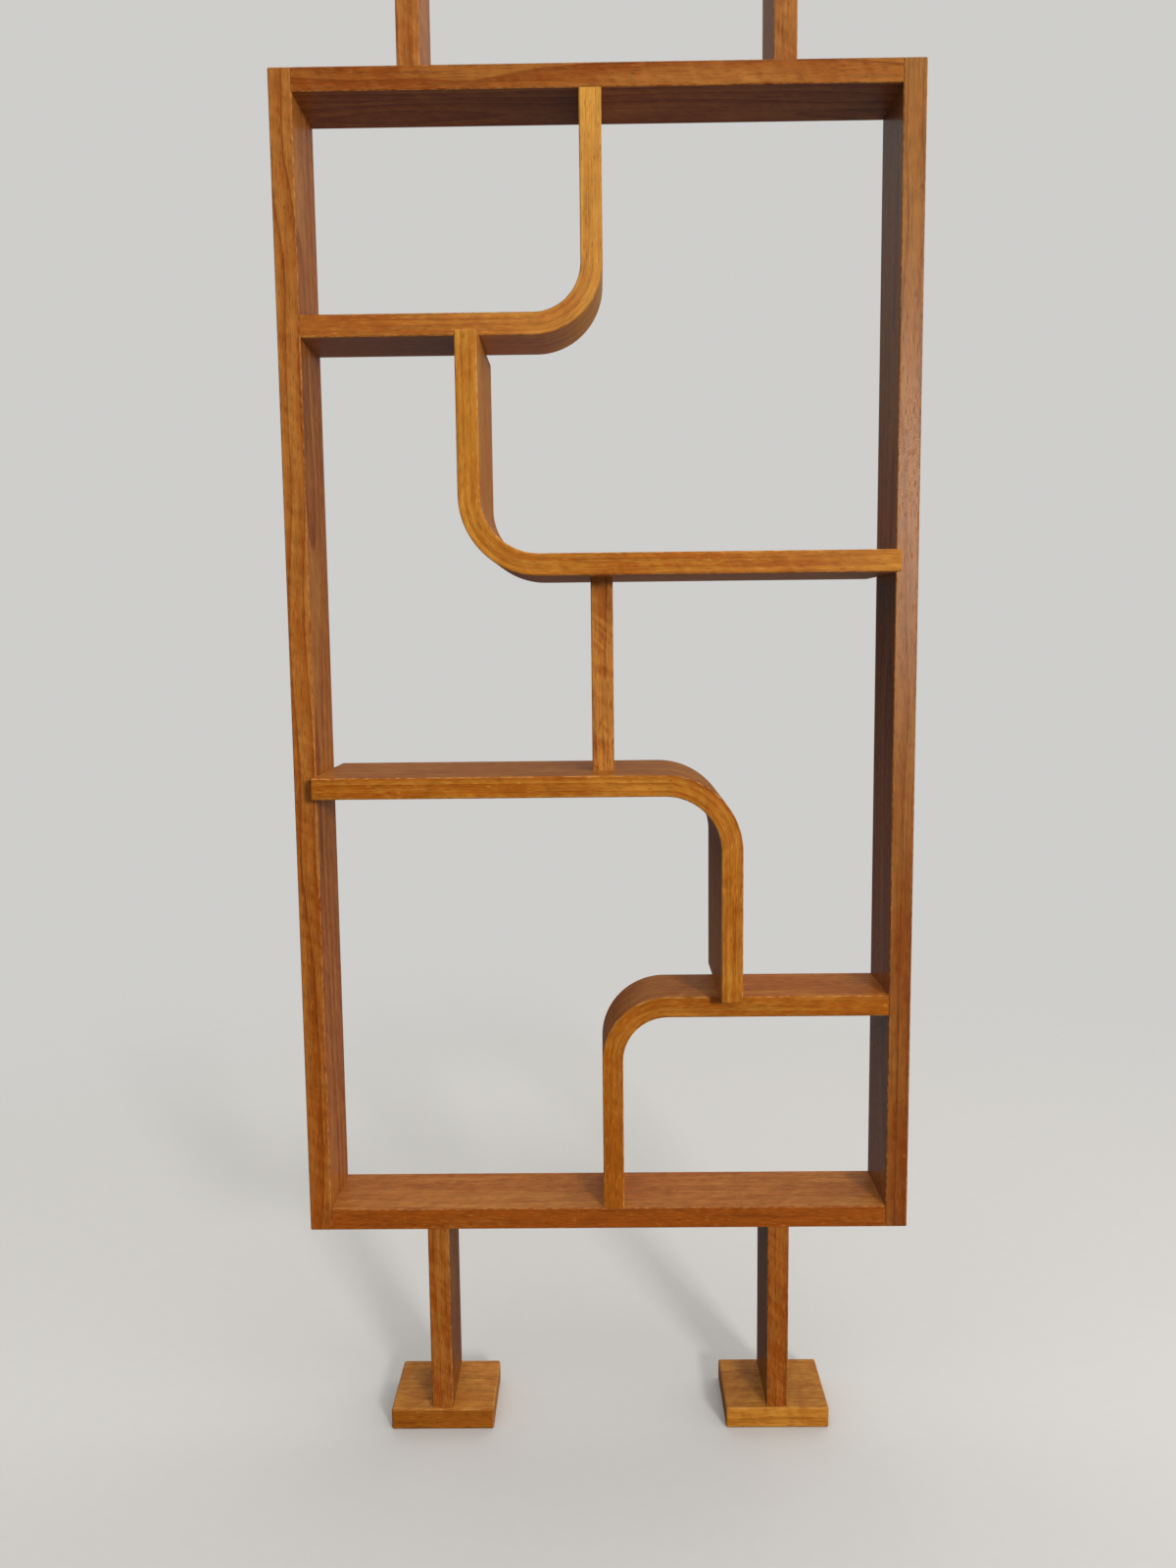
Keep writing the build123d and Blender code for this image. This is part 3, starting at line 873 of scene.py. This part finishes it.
def threaded_rod(name, low, high, metal):
    """A rod with a real helical thread between two corners of its CAD box."""
    rows_per_pitch, end_chamfer, end_slope = 6, 0.0011, 5.5
    crest, length = (high.x - low.x) / 2, high.z - low.z
    pitch, steps = metal.thread_pitch, metal.thread_steps
    rows = int(length / pitch * rows_per_pitch)
    work = bmesh.new()
    rings = []
    for row in range(rows + 1):
        z = low.z + length * row / rows
        end = min(z - low.z, crest) / crest
        cap = crest - end_chamfer * max(0.0, 1 - end * end_slope)
        phases = [((z - low.z) / pitch - turn / steps) % 1.0 for turn in range(steps)]
        radii = [min(thread_radius(phase, crest, metal.thread_depth), cap) for phase in phases]
        rings.append(ring(work, (low + high) / 2, radii, z))
    bridge(work, rings)
    work.faces.new(rings[0][::-1])
    work.faces.new(rings[-1])
    return new_piece(name, work, smooth_below=50.0)


class DIVIDER_OT_jacks(bpy.types.Operator):
    """Cut the thread of each jack rod and finish rod, nut, washer and plate"""
    bl_idname = "divider.jacks"
    bl_label = "Ceiling Jacks"

    def execute(self, context):
        metal = context.scene.divider.metal
        for place, side in enumerate(SIDES):
            for piece in ("jack_nut", "jack_washer", "jack_plate"):
                node = f"{side}_{piece}"
                dress(node, plated_steel(f"{node}_steel", metal, seed=71.0 + place))
            rod = threaded_rod(f"{side}_threaded_rod", *corners(f"{side}_jack_rod"), metal)
            steel = plated_steel(f"{side}_rod_steel", metal, seed=75.0 + place)
            carry(rod, f"{side}_jack_rod", f"{side}_pad", steel)
        return {"FINISHED"}


def cross_head(work, centre, bottom, head, shank, length):
    """A countersunk screw with a cross recess in its head, point up."""
    steps, rim_share, rim_height = 32, 0.97, 0.0002
    point_length, nose_length, nose_share = 1.6, 0.3, 0.35
    tip = bottom + length
    profile = (
        (head * rim_share, bottom), (head, bottom + rim_height), (shank, bottom + head - shank),
        (shank, tip - shank * point_length), (shank * nose_share, tip - shank * nose_length),
    )
    rings = [ring(work, centre, [radius] * steps, z) for radius, z in profile]
    rings.append([work.verts.new((*centre, tip))])
    bridge(work, rings)

    # the recess: arms as shares of the head's radius, narrower at the bottom
    reach, arm, depth, narrowing = head * 0.52, head * 0.13, head * 0.42, 0.45
    mouth, floor = [], []
    for quarter in range(4):
        turn = quarter * math.pi / 2
        for along, across in ((reach, -arm), (reach, arm), (arm, arm)):
            x = along * math.cos(turn) - across * math.sin(turn)
            y = along * math.sin(turn) + across * math.cos(turn)
            for points, share, z in ((mouth, 1.0, bottom), (floor, narrowing, bottom + depth)):
                place = (centre[0] + x * share, centre[1] + y * share, z)
                points.append(work.verts.new(place))
    bridge(work, (mouth, floor))
    work.faces.new(floor)
    edges = [
        work.edges.get((here, after))
        for loop in (rings[0], mouth) for here, after in zip(loop, loop[1:] + loop[:1])
    ]
    bmesh.ops.triangle_fill(work, use_beauty=True, edges=edges, normal=(0, 0, -1))


class DIVIDER_OT_screws(bpy.types.Operator):
    """Make the countersunk screws of the feet and the jack plates"""
    bl_idname = "divider.screws"
    bl_label = "Screws"

    def execute(self, context):
        metal = context.scene.divider.metal
        for side in SIDES:
            bodies = {"foot_screws": "divider", "plate_screws": f"{side}_pad"}
            for kind, (head, shank) in SCREW_SIZES.items():
                node = f"{side}_{kind}"
                low, high = corners(node)
                columns, rows = (
                    sorted({round(low[axis] + head, 6), round(high[axis] - head, 6)})
                    for axis in (0, 1)
                )
                work = bmesh.new()
                for x in columns:
                    for y in rows:
                        cross_head(work, (x, y), low.z, head, shank, high.z - low.z)
                bmesh.ops.recalc_face_normals(work, faces=work.faces)
                made = new_piece(f"{node}_cross_head", work, smooth_below=35.0)
                steel = plated_steel(f"{node}_steel", metal, seed=81.0)
                carry(made, node, bodies[kind], steel)
        return {"FINISHED"}


def felt_pad(name, low, high):
    """A pressed felt sheet with soft edges and a slightly uneven face."""
    columns, rows = 44, 38
    soft, soft_below = 0.0009, 0.4
    wave_height, wave_margin = 0.00012, 0.004
    size = high - low
    work = bmesh.new()
    top, bottom = [], []
    for row in range(rows + 1):
        for column in range(columns + 1):
            u, v = column / columns, row / rows
            x, y = low.x + size.x * u, low.y + size.y * v
            edge = min(u * size.x, (1 - u) * size.x, v * size.y, (1 - v) * size.y)
            rounding = soft * (1 - math.sqrt(1 - max(0.0, 1 - edge / soft) ** 2))
            # wandering waves of about 3 cm, none above the CAD face
            wave = math.sin(210 * x + 3 * math.sin(95 * y)) * math.sin(180 * y) - 1
            wave *= wave_height * min(1.0, edge / wave_margin)
            top.append(work.verts.new((x, y, high.z - rounding + wave)))
            bottom.append(work.verts.new((x, y, low.z + rounding * soft_below)))
    width = columns + 1
    for row in range(rows):
        for column in range(columns):
            a = row * width + column
            b = a + width
            work.faces.new((top[a], top[a + 1], top[b + 1], top[b]))
            work.faces.new((bottom[b], bottom[b + 1], bottom[a + 1], bottom[a]))
    last = rows * width + columns
    rim = [*range(columns), *range(columns, last, width)]
    rim += [last - place for place in rim]
    for here, after in zip(rim, rim[1:] + rim[:1]):
        work.faces.new((bottom[here], bottom[after], top[after], top[here]))
    return new_piece(name, work, smooth_below=60.0)


class DIVIDER_OT_felt_faces(bpy.types.Operator):
    """Make the felt faces that touch the ceiling"""
    bl_idname = "divider.felt_faces"
    bl_label = "Felt Faces"

    def execute(self, context):
        material = pressed_felt(context.scene.divider.felt)
        for side in SIDES:
            made = felt_pad(f"{side}_pressed_felt", *corners(f"{side}_ceiling_felt"))
            carry(made, f"{side}_ceiling_felt", f"{side}_pad", material)
        return {"FINISHED"}


def fading_floor(settings):
    """Floor that fades out with distance, is clear from below and lets the even light through."""
    made, tree, shader, given = new_material("studio_floor")
    output = next(node for node in tree.nodes if node.type == "OUTPUT_MATERIAL")
    path = tree.nodes.new("ShaderNodeLightPath").outputs
    place = given["Object"]

    # painted shade in front, where the lamp is nearer, to even out its light; darker in reflections
    # too
    grain_swing, grain_base, front_shade = 0.04, 0.98, 0.74
    grain = noise(tree, place, (60.0, 60.0, 60.0), detail=3.0)
    shade = times(
        tree,
        total(tree, times(tree, grain, grain_swing), grain_base),
        step(tree, path["Is Glossy Ray"], 0.0, 1.0, 1.0, settings.floor_gloss),
        step(tree, split(tree, place)["Y"], -1.6, 0.2, front_shade, 1.0),
    )
    feed(tree, shader.inputs["Base Color"], scaled(tree, tuple(settings.floor), shade))
    shader.inputs["Roughness"].default_value = 0.75
    shader.inputs["Specular IOR Level"].default_value = 0.2

    fade_start = settings.floor_radius * 0.45
    away = vector(tree, "LENGTH", place, output="Value")
    solid = step(tree, away, settings.floor_radius, fade_start)
    behind = add(tree, "ShaderNodeNewGeometry").outputs["Backfacing"]
    hidden = greater(tree, behind, path["Is Diffuse Ray"])
    seen = times(tree, solid, minus(tree, 1.0, hidden))
    clear = tree.nodes.new("ShaderNodeBsdfTransparent").outputs[0]
    mixed = shaders_mixed(tree, seen, clear, shader.outputs[0])
    tree.links.new(mixed, output.inputs["Surface"])
    return made


def background(tree, colour, strength):
    """A world shader of one colour."""
    inputs = {"Color": opaque(colour), "Strength": strength}
    return add(tree, "ShaderNodeBackground", inputs).outputs[0]


def pale_room(settings):
    """World that is pale behind the divider, dim in reflections and lights softly from above."""
    world = bpy.data.worlds.new("pale_room")
    bpy.context.scene.world = world
    world.use_nodes = True
    tree = world.node_tree
    tree.nodes.clear()
    path = tree.nodes.new("ShaderNodeLightPath").outputs
    direction = tree.nodes.new("ShaderNodeTexCoord").outputs["Generated"]
    right, back, up = split(tree, direction)

    # the even light that falls on the divider
    least_light = 0.03
    above = total(tree, times(tree, up, settings.ceiling_light), settings.room_light)
    above = greater(tree, above, settings.floor_light)
    wall = times(tree, greater(tree, back, 0.0), settings.back_light)
    lean = greater(
        tree, times(tree, right, settings.side_light), times(tree, right, settings.side_shade),
    )
    strength = greater(tree, total(tree, above, wall, lean), least_light)
    light = background(tree, (1.0, 0.985, 0.96), strength)

    # what reflections show: brighter above and below, with the lamp's patch
    up_gloss, down_gloss, right_gloss, level_gloss, least_gloss = 1.15, -0.6, 0.15, 0.13, 0.07
    mirror = greater(tree, times(tree, up, up_gloss), times(tree, up, down_gloss))
    mirror = total(tree, mirror, times(tree, right, right_gloss), level_gloss)
    mirror = lesser(tree, greater(tree, mirror, least_gloss), 1.0)
    depth = step(tree, back, -0.15, 0.45, settings.front_gloss, settings.back_gloss)
    way = Vector(SHEEN_WAY).normalized()
    near = vector(tree, "DOT_PRODUCT", direction, way, output="Value")
    edge, core = (math.cos(math.radians(angle)) for angle in (SHEEN_EDGE, SHEEN_CORE))
    patch = step(tree, near, edge, core, 0.0, settings.sheen)
    gloss = background(tree, settings.backdrop, total(tree, times(tree, mirror, depth), patch))

    mirrored = greater(tree, path["Is Glossy Ray"], path["Is Transmission Ray"])
    mixed = shaders_mixed(tree, mirrored, light, gloss)
    pale = background(tree, settings.backdrop, 1.0)
    mixed = shaders_mixed(tree, path["Is Camera Ray"], mixed, pale)
    output = tree.nodes.new("ShaderNodeOutputWorld")
    tree.links.new(mixed, output.inputs["Surface"])


def main_lamp(power):
    """A square lamp that leaves reflections to the world."""
    data = bpy.data.lights.new("key_lamp", "AREA")
    data.shape = "SQUARE"
    data.size = LAMP_SIZE
    data.energy = power
    data.color = LAMP_COLOUR
    made = bpy.data.objects.new("key_lamp", data)
    made.location = LAMP_PLACE
    made.rotation_mode = "QUATERNION"
    way = Vector(LAMP_TARGET) - Vector(LAMP_PLACE)
    made.rotation_quaternion = way.to_track_quat("-Z", "Y")
    made.visible_glossy = False
    bpy.context.scene.collection.objects.link(made)


def photograph_camera(focal_length):
    """Camera where the photograph was taken from."""
    angles = (CAMERA_PITCH, CAMERA_YAW, CAMERA_ROLL)
    pitch, yaw, roll = (math.radians(angle) for angle in angles)
    flat = math.cos(pitch)
    forward = Vector((math.sin(yaw) * flat, math.cos(yaw) * flat, math.sin(pitch)))
    level = Vector((math.cos(yaw), -math.sin(yaw), 0.0))
    up = level.cross(forward)
    right = level * math.cos(roll) + up * math.sin(roll)
    above = up * math.cos(roll) - level * math.sin(roll)
    data = bpy.data.cameras.new("photograph")
    data.lens = focal_length
    data.sensor_width = SENSOR_WIDTH
    made = bpy.data.objects.new("photograph", data)
    turned = Matrix((right, above, -forward)).transposed().to_4x4()
    made.matrix_world = Matrix.Translation(CAMERA_PLACE) @ turned
    bpy.context.scene.collection.objects.link(made)
    bpy.context.scene.camera = made


class DIVIDER_OT_stage(bpy.types.Operator):
    """Lay the floor, light the room and place the camera"""
    bl_idname = "divider.stage"
    bl_label = "Stage"

    def execute(self, context):
        settings = context.scene.divider.stage
        work = bmesh.new()
        bmesh.ops.create_circle(
            work, cap_ends=True, segments=FLOOR_SEGMENTS, radius=settings.floor_radius,
        )
        floor = new_piece("studio_floor", work)
        floor.location.z = -FLOOR_DROP
        floor.data.materials.append(fading_floor(settings))
        pale_room(settings)
        main_lamp(settings.key_light)
        photograph_camera(settings.focal_length)
        context.scene.view_settings.view_transform = "Standard"
        return {"FINISHED"}


class DIVIDER_PT_panel(bpy.types.Panel):
    """Lists the divider's pieces and their finishes"""
    bl_label = "Room Divider"
    bl_idname = "DIVIDER_PT_panel"
    bl_space_type = "VIEW_3D"
    bl_region_type = "UI"
    bl_category = "Divider"

    def draw(self, context):
        settings = context.scene.divider
        for operator in OPERATORS:
            self.layout.operator(operator.bl_idname)
        for name in DividerSettings.__annotations__:
            box = self.layout.box()
            box.label(text=settings.bl_rna.properties[name].name)
            finish = getattr(settings, name)
            for key in finish.__annotations__:
                box.prop(finish, key)


# In the order in which main calls them
OPERATORS = (
    DIVIDER_OT_frame_boards, DIVIDER_OT_bent_shelves, DIVIDER_OT_posts, DIVIDER_OT_blocks,
    DIVIDER_OT_dowels, DIVIDER_OT_jacks, DIVIDER_OT_screws, DIVIDER_OT_felt_faces,
    DIVIDER_OT_stage,
)
CLASSES = (
    WoodFinish, MetalFinish, FeltFinish, StageSettings, DividerSettings, *OPERATORS,
    DIVIDER_PT_panel,
)


def register():
    """Registers the classes and gives each scene its settings."""
    for item in CLASSES:
        bpy.utils.register_class(item)
    bpy.types.Scene.divider = PointerProperty(
        type=DividerSettings, name="Divider", description="Finishes and stage of the divider",
    )


def unregister():
    """Takes back what register did."""
    del bpy.types.Scene.divider
    for item in reversed(CLASSES):
        bpy.utils.unregister_class(item)


def main():
    """Registers the add-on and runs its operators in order."""
    register()
    for item in OPERATORS:
        area, action = item.bl_idname.split(".")
        getattr(getattr(bpy.ops, area), action)()


if __name__ == "__main__":
    main()
